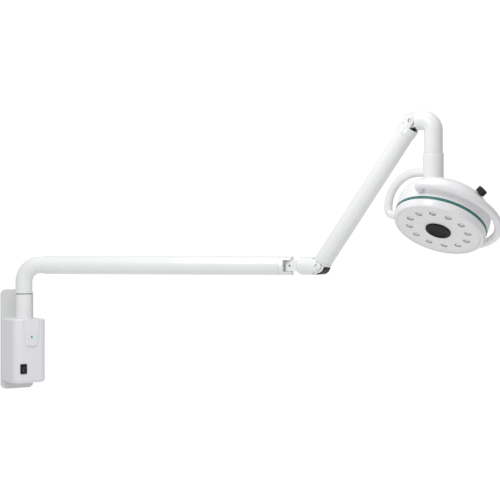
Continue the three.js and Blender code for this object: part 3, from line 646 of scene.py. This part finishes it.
piece("wall_plate", wall_plate(), WALL, "wall_unit", PLATE_GREY_AND_SHADE, 1.2)
for i, (x, z) in enumerate(WALL_SCREWS):
    mesh = cross_screw(3, 5.5, 3, 7, (x, HOUSING_BACK, z), ALONG_Y)
    piece(f"wall_screw_{i + 1}", mesh, WALL, "wall_unit", STEEL)
section = [(POST_BORE, -56), (POST_RADIUS, -56), (POST_RADIUS, 127), (POST_BORE, 127)]
post = turned(softened(section, 0.7), at=POST_AT)
piece("wall_post", post, WALL, "wall_unit", WHITE)
flange = [(16.7, 87.3), (18.65, 87.3), (18.65, 127.3), (22.3, 127.3), (22.3, 129.3), (16.7, 129.3)]
piece("swivel_bush", turned(softened(flange, 0.4), at=POST_AT), WALL, "wall_unit", NYLON)
piece("power_housing", power_housing(), WALL, "wall_unit", HOUSING, 0.5)
piece("nameplate_badge", badge(), WALL, "wall_unit", BADGE, 0.9)
piece("status_led", status_led(), WALL, "wall_unit", INDICATOR)
piece("rocker_frame", rocker_frame(), WALL, "wall_unit", BLACK, 0.5)
for side, name in zip(LUG_X, ["housing_screw_left", "housing_screw_right"]):
    mesh = cross_screw(1.6, 3.2, 2, 12, (side, LUG_DEPTH, HOUSING_BOTTOM - 0.3))
    piece(name, mesh, WALL, "wall_unit", STEEL)
piece("rocker", rocker_blade(), rocker_frame_at(), "rocker", BLACK, 0.4)
piece("rocker_mark", rocker_mark(), rocker_frame_at(), "rocker", MARK, replaces=False)


# --- main arm -------------------------------------------------------------------------------------

PIN = 760  # from the column to the elbow pin
ARM_RADIUS = 25
ELBOW_RADIUS = 23.3
ELBOW_BORE = 19.5
ELBOW_BEND = 48


def elbow_tube():
    seat = 129.6 - 209
    path = bent_path(0, seat, 90, [-ELBOW_BEND - seat, (-90, ELBOW_BEND), 62 - ELBOW_BEND])
    shaft = [(12, seat - 38), (16.2, seat - 38), (16.2, seat + 4)]
    foot = turned([*shaft, (19.6, seat + 4), (19.6, seat + 6), (12, seat + 6)])
    spigot = turned([(17, 57.3), (21.6, 57.3), (21.6, 90), (17, 90)], ROUND, ALONG_X)
    return grouped(swept(path, ELBOW_RADIUS, ELBOW_BORE, ROUND, 0.6), foot, spigot)


def fork():
    """The two ears of the arm's end, above and below the knuckle's tongue."""
    back, tip = PIN - 12, PIN + 12
    lower = [(734, -ARM_RADIUS), (back, -ARM_RADIUS)]
    curve = []
    for i in range(1, 17):
        t = i / 16
        x = (1 - t) ** 2 * back + 2 * t * (1 - t) * tip + t ** 2 * tip
        curve.append((x, -ARM_RADIUS * ((1 - t) ** 2 + 2 * t * (1 - t))))
    upper = [(x, -y) for x, y in reversed([*lower, *curve[:-1]])]
    plan = prism([*lower, *curve, *upper], -30, 30)
    head = trim(rod(ARM_RADIUS, 735, PIN + 20, ALONG_X), plan)
    slot = block(PIN - 12.3, PIN + 40, -40, 40, -15.3, 15.3)
    return cut(
        join(head, turned([(15, 705), (21.6, 705), (21.6, 739), (15, 739)], ROUND, ALONG_X)),
        slot,
        rod(4.5, 695, PIN, ALONG_X, sides=SMALL),
        rod(5.3, -40, 22.1, at=(PIN, 0, 0), sides=SMALL),
        rod(8.3, 21.7, 40, at=(PIN, 0, 0), sides=SMALL),
    )


def fork_pin():
    shaft = [(0, -22), (4.5, -22), (5, -21.5), (5, 22), (8, 22), (8, 23.4), (7.4, 24), (0, 24)]
    socket = prism(arc(0, 0, 3, 0, 300, 5), 21.5, 30)
    made = cut(turned(shaft, SMALL), socket)
    made.transform(Matrix.Translation((PIN, 0, 0)))
    return made


piece("elbow_tube", elbow_tube(), MAIN, "main_arm", WHITE)
piece("main_arm_tube", hollow(22, ARM_RADIUS, 62.3, 734.7), MAIN, "main_arm", WHITE)
piece("arm_end_fork", fork(), MAIN, "main_arm", WHITE, 1.4)
piece("fork_pin", fork_pin(), MAIN, "main_arm", STEEL)
for name, z in [("fork_washer_lower", -14.9), ("fork_washer_upper", 14.9)]:
    section = [(5.2, z - 0.2), (10.5, z - 0.2), (10.5, z + 0.2), (5.2, z + 0.2)]
    washer = turned(section, SMALL, at=(PIN, 0, 0))
    piece(name, washer, MAIN, "main_arm", STEEL)


# --- knuckle and spring arm -----------------------------------------------------------------------

PITCH = 97  # from the elbow pin to the pitch axis
ARM = 455  # between the two pitch axes
LINK = (14 * math.cos(math.radians(103)), 14 * math.sin(math.radians(103)))
SIDEWAYS = Matrix.Rotation(math.radians(90), 4, "X")  # a flat outline's Y becomes Z, its thickness -Y
PIN_RADIUS = 5
LINK_BORE = 2.7
DRUM_RADIUS = 22
DRUM_HALF = 15
CHEEK_INNER = 15.4
TUBE_RADIUS = 23
TUBE_BORE = 20
TUBE_END = 430


def cheeks(x, back, radius, nose):
    """The two cheeks of a hinge at x, round about it, trimmed to a round body."""
    outline = [(x - back, -nose), *arc(x, 0, nose, -90, 90, 32), (x - back, nose)]
    body = rod(radius, x - 60, x + 60, ALONG_X)
    sides = [(CHEEK_INNER, radius), (-radius, -CHEEK_INNER)]
    return [trim(prism(outline, *side, SIDEWAYS), body.copy()) for side in sides]


def knuckle():
    pivot = (PITCH, 0, 0)
    nose = [(0, 30), (15, 30), (16.2, 30.8), (22.7, 38.2), (23.5, 39.6), (23.5, 59)]
    groove = [(23.1, 59.8), (23.1, 70.2)]
    body = [*nose, *groove, (23.5, 71), (23.5, 96.2), (22.5, 97), (0, 97)]
    relief = prism([(84, 23.7), (98, 16), (98, 30), (90, 32)], -30, 30, SIDEWAYS)
    tab = [*arc(PITCH + LINK[0], LINK[1], 5, -90, 90), (PITCH - 27, LINK[1] + 5), (PITCH - 27, LINK[1] - 5)]
    tongue = [*arc(0, 0, 9.2, 100, 260, 32), (9, -11.3), (33, -11.3), (33, 11.3), (9, 11.3)]
    main = join(prism(tongue, -14.5, 14.5), turned(body, ROUND, ALONG_X))
    hollowed = cut(
        main,
        relief,
        rod(24.3, -CHEEK_INNER, CHEEK_INNER, ALONG_Y, pivot),
        rod(4, 14, PITCH - 10, ALONG_X, sides=SMALL),
        rod(3.4, -30, 0, ALONG_Y, (9, 0, 0), SMALL),
        rod(5.2, -30, 30, sides=SMALL),
    )
    return cut(
        join(hollowed, *cheeks(PITCH, 16, 21.5, 12.4), prism(tab, -3.6, -0.4, SIDEWAYS)),
        rod(PIN_RADIUS + 0.1, -40, 40, ALONG_Y, pivot, SMALL),
        rod(LINK_BORE, -8, 8, ALONG_Y, (PITCH + LINK[0], 0, LINK[1]), SMALL),
    )


def hinge_pin(half, at):
    """A hinge pin along Y with rounded ends, painted over with the arm."""
    outline = [(0, -half), (PIN_RADIUS, -half), (PIN_RADIUS, half), (0, half)]
    outline = softened(outline, 0.9, closed=False)
    return turned(outline, SMALL, ALONG_Y, at)


def seal_with_painted_shade(start, end):
    """The black strip set round the lower arc of a hinge drum, just proud of it: partly a seal, partly
    painted shade where the hinge's underside falls dark.
    """
    rim = arc(0, 0, DRUM_RADIUS + 0.2, start, end, 40)
    core = arc(0, 0, 18.4, end, start, 40)
    half = DRUM_HALF + 0.25
    return prism([*rim, *core], -half, half, SIDEWAYS)


def drum(plug, end):
    """A hinge drum about the pivot, slotted for the level link, with a plug that enters its tube."""
    half = DRUM_HALF
    rim = [(0, -half), (DRUM_RADIUS, -half), (DRUM_RADIUS, half), (0, half)]
    rim = softened(rim, 0.8, closed=False)
    return cut(
        join(turned(rim, ROUND, ALONG_Y), rod(plug, 12, end, ALONG_X)),
        block(-30, 12, -4.3, 4.3, -30, 30),
        block(-30, 18.5, half, 30, -30, 30),
        block(-30, 18.5, -30, -half, -30, 30),
        rod(5.2, -30, 30, ALONG_Y, sides=SMALL),
    )


def drum_pocket():
    return rod(DRUM_RADIUS + 0.3, -CHEEK_INNER, CHEEK_INNER, ALONG_Y)


def upper_cap():
    sleeve = [(23.4, 417), (24.5, 417), (24.5, 437), (19, 437), (19, 430.3), (23.4, 430.3)]
    return cut(
        join(turned(softened(sleeve, 0.7), ROUND, ALONG_X), *cheeks(ARM, 22, 24.5, 10)),
        rod(DRUM_RADIUS + 0.8, -CHEEK_INNER, CHEEK_INNER, ALONG_Y, (ARM, 0, 0)),
        rod(PIN_RADIUS + 0.1, -40, 40, ALONG_Y, (ARM, 0, 0), SMALL),
    )


piece("knuckle", knuckle(), KNUCKLE, "knuckle", WHITE, 0.9)
piece("pitch_pin_lower", hinge_pin(20, (PITCH, 0, 0)), KNUCKLE, "knuckle", WHITE)
piece("lower_hub", cut(drum(19.5, 46), block(-30, 60, -5, 5, 4.5, 30)), SPRING, "spring_arm", WHITE, 0.4)
# Black strip on the drum's lower arc only: partly a seal, partly painted shade under the hinge.
piece("lower_hub_seal_painted_shade", seal_with_painted_shade(-146, -60), SPRING, "spring_arm", BLACK, replaces=False)
lower_cap = cut(hollow(TUBE_BORE, 23.5, 13, 19, 0.5), drum_pocket())
piece("lower_cap", lower_cap, SPRING, "spring_arm", WHITE, 0.4)
piece("spring_tube", hollow(TUBE_BORE, TUBE_RADIUS, 19.3, TUBE_END, 0.7), SPRING, "spring_arm", WHITE)
piece("upper_cap", upper_cap(), SPRING, "spring_arm", WHITE, 0.7)
piece("pitch_pin_upper", hinge_pin(22, (ARM, 0, 0)), SPRING, "spring_arm", WHITE)


# --- gooseneck, stem and yoke ---------------------------------------------------------------------

NECK_BEND = 27
NECK_REACH = 54
NECK_DROP = 82
NECK_RADIUS = 23.2
COLLAR_RADIUS = 25.4
COLLAR_TOP = -82.3
COLLAR_BOTTOM = -150.8
YOKE_HEIGHT = -129.8
YOKE_REACH = 132
YOKE_RADIUS = 10.5
YOKE_BEND = 88
YOKE_HOOK = 16.5
TILT_HEIGHT = -234.3

def gooseneck():
    level = NECK_REACH - NECK_BEND - 10.5
    path = bent_path(10.5, 0, 0, [level, (-90, NECK_BEND), NECK_DROP - NECK_BEND])
    return cut(swept(path, NECK_RADIUS, TUBE_BORE, ROUND, 0.6), drum_pocket())


def collar():
    low, high = COLLAR_BOTTOM, COLLAR_TOP
    outline = [(0, low), (COLLAR_RADIUS, low), (COLLAR_RADIUS, high), (12.3, high)]
    outside = softened(outline, 4.5, closed=False, steps=8)
    crown = [point for point in outside if point[1] < -100]
    lip = [(COLLAR_RADIUS, -100), (COLLAR_RADIUS, high), (12.3, high), (12.3, -110.3)]
    lip = softened(lip, 1.2, closed=False)
    return turned([*crown, *lip, (19, -110.3), (19, -145.8), (0, -145.8)])


def yoke():
    """The one-sided yoke: a bent tube that turns back into its eye on the tilt axis."""
    start = 20
    straight = YOKE_REACH - YOKE_BEND - start
    drop = YOKE_HEIGHT - YOKE_BEND - YOKE_HOOK - TILT_HEIGHT
    moves = [straight, (-90, YOKE_BEND), drop, (-90, YOKE_HOOK), 7.5]
    eye = softened([(6.4, 102), (13, 102), (13, 110), (6.4, 110)], 1)
    eye = turned(eye, PIPE, ALONG_X, (0, 0, TILT_HEIGHT))
    return join(swept(bent_path(start, YOKE_HEIGHT, 0, moves), YOKE_RADIUS, 8), eye)


piece("gooseneck", gooseneck(), NECK, "gooseneck", WHITE)
hub = cut(drum(19.5, 26), rod(LINK_BORE, -9, 9, ALONG_Y, (LINK[0], 0, LINK[1]), SMALL))
piece("upper_hub", hub, NECK, "gooseneck", WHITE, 0.4)
# Black strip on the drum's lower arc only: partly a seal, partly painted shade under the hinge.
piece("upper_hub_seal_painted_shade", seal_with_painted_shade(245, 335), NECK, "gooseneck", BLACK, replaces=False)
piece("swivel_collar", collar(), STEM, "stem", WHITE)
piece("yoke_arm", yoke(), STEM, "stem", HEAD_WHITE)
washer = turned([(6.3, 100.2), (12, 100.2), (12, 101.7), (6.3, 101.7)], PIPE, ALONG_X, (0, 0, TILT_HEIGHT))
piece("friction_washer", washer, STEM, "stem", BLACK)


# --- lamp head ------------------------------------------------------------------------------------

RIM = -50  # the face's rim, below the tilt axis
DOME = [
    (116.5, 26.8), (117, 45), (116.8, 58), (115, 68), (110, 80),
    (102, 90), (92, 98), (79, 103), (60, 105), (0, 106),
]
SHELL_WALL = 2.6
LENS_ANGLES = [30 * (i + 0.5) for i in range(12)]
LENS_CIRCLE = 75
HANDLE_ENDS = (88, 272)
HANDLE_CIRCLE = 139.5
HANDLE_BEND = 14
HANDLE_RADIUS = 10
HANDLE_AT = (0, 0, -6)
KNOB_ANGLE = 166
KNOB_RADIUS = 12.5
KNOB_FLUTES = 14


def above_rim(profile):
    return [(radius, height + RIM) for radius, height in profile]


def lens_place(angle):
    turn = math.radians(angle)
    return (LENS_CIRCLE * math.cos(turn), LENS_CIRCLE * math.sin(turn), 0)


def inside_of(outline, wall):
    """An open outline moved inwards by the wall's thickness."""
    made = []
    for i, point in enumerate(outline):
        before, after = outline[max(i - 1, 0)], outline[min(i + 1, len(outline) - 1)]
        along = (Vector(after) - Vector(before)).normalized()
        made.append((max(point[0] - along.y * wall, 0), point[1] + along.x * wall))
    return made


def radial(angle):
    return Matrix.Rotation(math.radians(angle), 4, "Z") @ ALONG_X


def head_shell():
    outside = splined(DOME)
    inside = inside_of(outside, SHELL_WALL)
    inside[0] = (inside[0][0], outside[0][1])
    dome = turned(above_rim([*reversed(inside), *outside]))
    boss = softened([(0, 108), (13, 108), (13, 128), (0, 128)], 1, closed=False)
    boss = cut(turned(boss, PIPE, ALONG_X), rod(112.5, -60, 60))
    knob_turn = Matrix.Rotation(math.radians(KNOB_ANGLE), 4, "Z")
    knob_centre = knob_turn @ Vector((100, 0, 39.5))
    lean = knob_turn @ Matrix.Rotation(math.radians(45), 4, "Y")
    return cut(
        join(dome, boss),
        rod(8.2, 90, 140, ALONG_X, sides=SMALL),
        *[rod(4.3, 100, 130, radial(angle), HANDLE_AT, SMALL) for angle in HANDLE_ENDS],
        rod(4.1, -20, 20, lean, knob_centre, SMALL),
    )


def front_bezel():
    outside = [(105, 0.8), (109, 0), (112, 2), (115, 12), (115.8, 19.7)]
    smooth = softened([*outside, (108, 19.7), (105, 4)], 1.4)
    return turned(above_rim(smooth))


def face_plate():
    below = [(28.6, 1.6), (60, 2.6), (92, 3.4), (100, 2.6), (104.6, 1.4)]
    above = [(104.6, 4), (92, 5.8), (60, 5), (28.6, 4)]
    holes = [rod(9, -70, 0, at=lens_place(angle), sides=SMALL) for angle in LENS_ANGLES]
    return cut(turned(above_rim([*below, *above])), *holes)


def lenses():
    """Twelve lens barrels on their carrier ring; each has a convex face with a stepped rim."""
    profile = [(0, 3.6), (3, 3.75), (5.5, 4.3), (7, 5), (7.3, 5.6), (8.4, 6), (8.4, 9.2), (0, 9.2)]
    barrels = [turned(above_rim(profile), SMALL, at=lens_place(angle)) for angle in LENS_ANGLES]
    return join(turned(above_rim([(63, 8), (87, 8), (87, 9.6), (63, 9.6)])), *barrels)


def centre_hub():
    """The black cap: a rolled rim round a face with shallow concentric steps."""
    face = [(0, -0.6), (6, -0.6), (6.5, 0.1), (8, 0.1), (8.5, -0.6), (15.5, -0.6), (16, 0.1), (17.5, 0.1)]
    rim = [(18, -0.6), (23, -0.6), (24.2, -1.6), (26, -2.8), (28.4, -3), (30.5, -2.6), (31.6, -1.5)]
    back = [(32, -0.5), (32, 1.2), (28, 1.2), (28, 5), (6, 5), (6, 13.6), (0, 13.6)]
    return turned(above_rim([*face, *rim, *back]))


def handle():
    """The round bar about the side of the head, turned in at both ends."""
    inner = 117.6
    start, end = HANDLE_ENDS
    centre = HANDLE_CIRCLE - HANDLE_BEND
    lead = math.degrees(math.asin(HANDLE_BEND / centre))
    straight = math.sqrt(centre ** 2 - HANDLE_BEND ** 2) - inner
    first = (inner * math.cos(math.radians(start)), inner * math.sin(math.radians(start)))
    corner = (90 + lead, HANDLE_BEND)
    sweep = (end - start - 2 * lead, HANDLE_CIRCLE)
    path = bent_path(*first, start, [straight, corner, sweep, corner, straight])
    bow = swept(path, HANDLE_RADIUS, 0, PIPE, 0.8, flat=True)
    bow.transform(Matrix.Translation(HANDLE_AT))
    threads = [rod(3.6, inner - 2, inner + 13, radial(angle), HANDLE_AT, SMALL) for angle in HANDLE_ENDS]
    return cut(bow, *threads)


def knob():
    """The ribbed knob, domed a little at its top, with a dished middle."""
    def outline(scale, rib):
        points = []
        sides = 12 * KNOB_FLUTES
        for i in range(sides):
            angle = 2 * math.pi * i / sides
            groove = rib * (0.5 - 0.5 * math.cos(KNOB_FLUTES * angle)) ** 2
            radius = scale * (KNOB_RADIUS - groove)
            points.append((radius * math.cos(angle), radius * math.sin(angle)))
        return points

    layers = [(outline(0.97, 1.3), 3), (outline(1, 1.3), 3.5), (outline(1, 1.3), 16)]
    layers += [(outline(0.96, 1.2), 17.1), (outline(0.88, 0.6), 17.5), (outline(0.62, 0), 17.4)]
    layers += [(outline(0.56, 0), 16.7), (outline(0.2, 0), 16.6)]
    return cut(stacked(layers), rod(3.3, 0, 14.5, sides=SMALL))


piece("front_bezel", front_bezel(), HEAD, "lamp_head", HEAD_WHITE)
band = softened([(109, 20), (115.8, 20), (115.8, 26.5), (109, 26.5)], 0.5)
piece("green_ring", turned(above_rim(band)), HEAD, "lamp_head", BAND)
piece("head_shell", head_shell(), HEAD, "lamp_head", HEAD_WHITE)
piece("face_plate", face_plate(), HEAD, "lamp_head", FACE, 0.35)
piece("lens_plate", lenses(), HEAD, "lamp_head", LENS)
piece("centre_hub", centre_hub(), HEAD, "lamp_head", RUBBER)
piece("handle_bow", handle(), HEAD, "lamp_head", HEAD_WHITE)
piece("dimmer_knob", knob(), KNOB, "dimmer_knob", BLACK, 0.2)
pointer = prism(rounded_rectangle(0.9, 4.2, 0.4), 17.35, 17.7, at=(0, 9.3, 0))
piece("dimmer_pointer", pointer, KNOB, "dimmer_knob", MARK, replaces=False)


# --- hidden parts keep their CAD shape ------------------------------------------------------------

KEPT = {
    "post_bracket": STEEL, "power_supply": CAST, "power_inlet": BLACK, "link_pin_lower": STEEL,
    "spring_seat_lower": STEEL, "spring_seat_upper": STEEL, "balance_spring": SPRING_STEEL,
    "level_link": STEEL, "link_pin_upper": STEEL, "stem_spindle": STEEL, "spindle_nut": STEEL,
    "tilt_bolt": STEEL, "led_board": BOARD, "heat_sink": CAST, "driver_board": BOARD,
    "tilt_bush": BLACK, "handle_screw_left": STEEL, "handle_screw_right": STEEL,
    "dimmer_encoder": BLACK, "dimmer_shaft": STEEL,
}
for name, material in KEPT.items():
    node = frame["nodes"][name]
    node.data.materials.clear()
    node.data.materials.append(material)
    node.data.shade_smooth()
    node.data.set_sharp_from_angle(angle=math.radians(38))


# --- stage ----------------------------------------------------------------------------------------

WORLD_LIGHT = 0.49
BACKDROP = 1.05
FLOOR_HEIGHT = -1.9
FLOOR_RADIUS = 5
FLOOR_GLOW = 0.3
FILM_WIDTH = 36
LENS_LENGTH = 94.75
CAMERA_AT = (-1.4785, -3.4944, 0.251)
CAMERA_AZIMUTH = -33

def camera():
    """Level, at arm height, looking at the light from its front left."""
    data = bpy.data.cameras.new("camera")
    data.sensor_width = FILM_WIDTH
    data.lens = LENS_LENGTH
    made = bpy.data.objects.new("camera", data)
    made.location = CAMERA_AT
    made.rotation_euler = (math.radians(90), 0, math.radians(CAMERA_AZIMUTH))
    SCENE.collection.objects.link(made)
    SCENE.camera = made


def area_light(name, location, target, size, power):
    data = bpy.data.lights.new(name, "AREA")
    data.shape = "DISK"
    data.size = size
    data.energy = power
    made = bpy.data.objects.new(name, data)
    made.location = location
    made.rotation_euler = (Vector(target) - Vector(location)).to_track_quat("-Z", "Y").to_euler()
    made.visible_camera = False
    SCENE.collection.objects.link(made)


def studio():
    """A white room: bright behind the object, softer in what it casts on it."""
    world = bpy.data.worlds.new("studio")
    world.use_nodes = True
    SCENE.world = world
    tree = world.node_tree
    background = tree.nodes["Background"]
    background.inputs["Color"].default_value = (1, 1, 1, 1)
    seen = tree.nodes.new("ShaderNodeLightPath")
    strength = tree.nodes.new("ShaderNodeMapRange")
    strength.inputs["To Min"].default_value = WORLD_LIGHT
    strength.inputs["To Max"].default_value = BACKDROP
    tree.links.new(seen.outputs["Is Camera Ray"], strength.inputs["Value"])
    tree.links.new(strength.outputs["Result"], background.inputs["Strength"])
    SCENE.view_settings.view_transform = "Standard"


def floor():
    shape = bmesh.new()
    bmesh.ops.create_circle(shape, cap_ends=True, segments=96, radius=FLOOR_RADIUS)
    mesh = mesh_of(shape)
    made = bpy.data.objects.new("floor", mesh)
    made.location = (0.4, -0.6, FLOOR_HEIGHT)
    look = Look("pale_floor", "white_enamel", 0.8)
    look.colours((0.93, 0.93, 0.93), (0.91, 0.91, 0.91), 2)
    look.shader.inputs["Emission Color"].default_value = (1, 1, 1, 1)
    look.shader.inputs["Emission Strength"].default_value = FLOOR_GLOW
    mesh.materials.append(look.material)
    SCENE.collection.objects.link(made)


camera()
studio()
floor()
area_light("key", (-0.8, -1.3, 1.5), (0.4, -0.7, 0.25), 0.7, 17)
area_light("top", (0.4, -0.6, 2.2), (0.4, -0.6, 0.25), 1.6, 12)
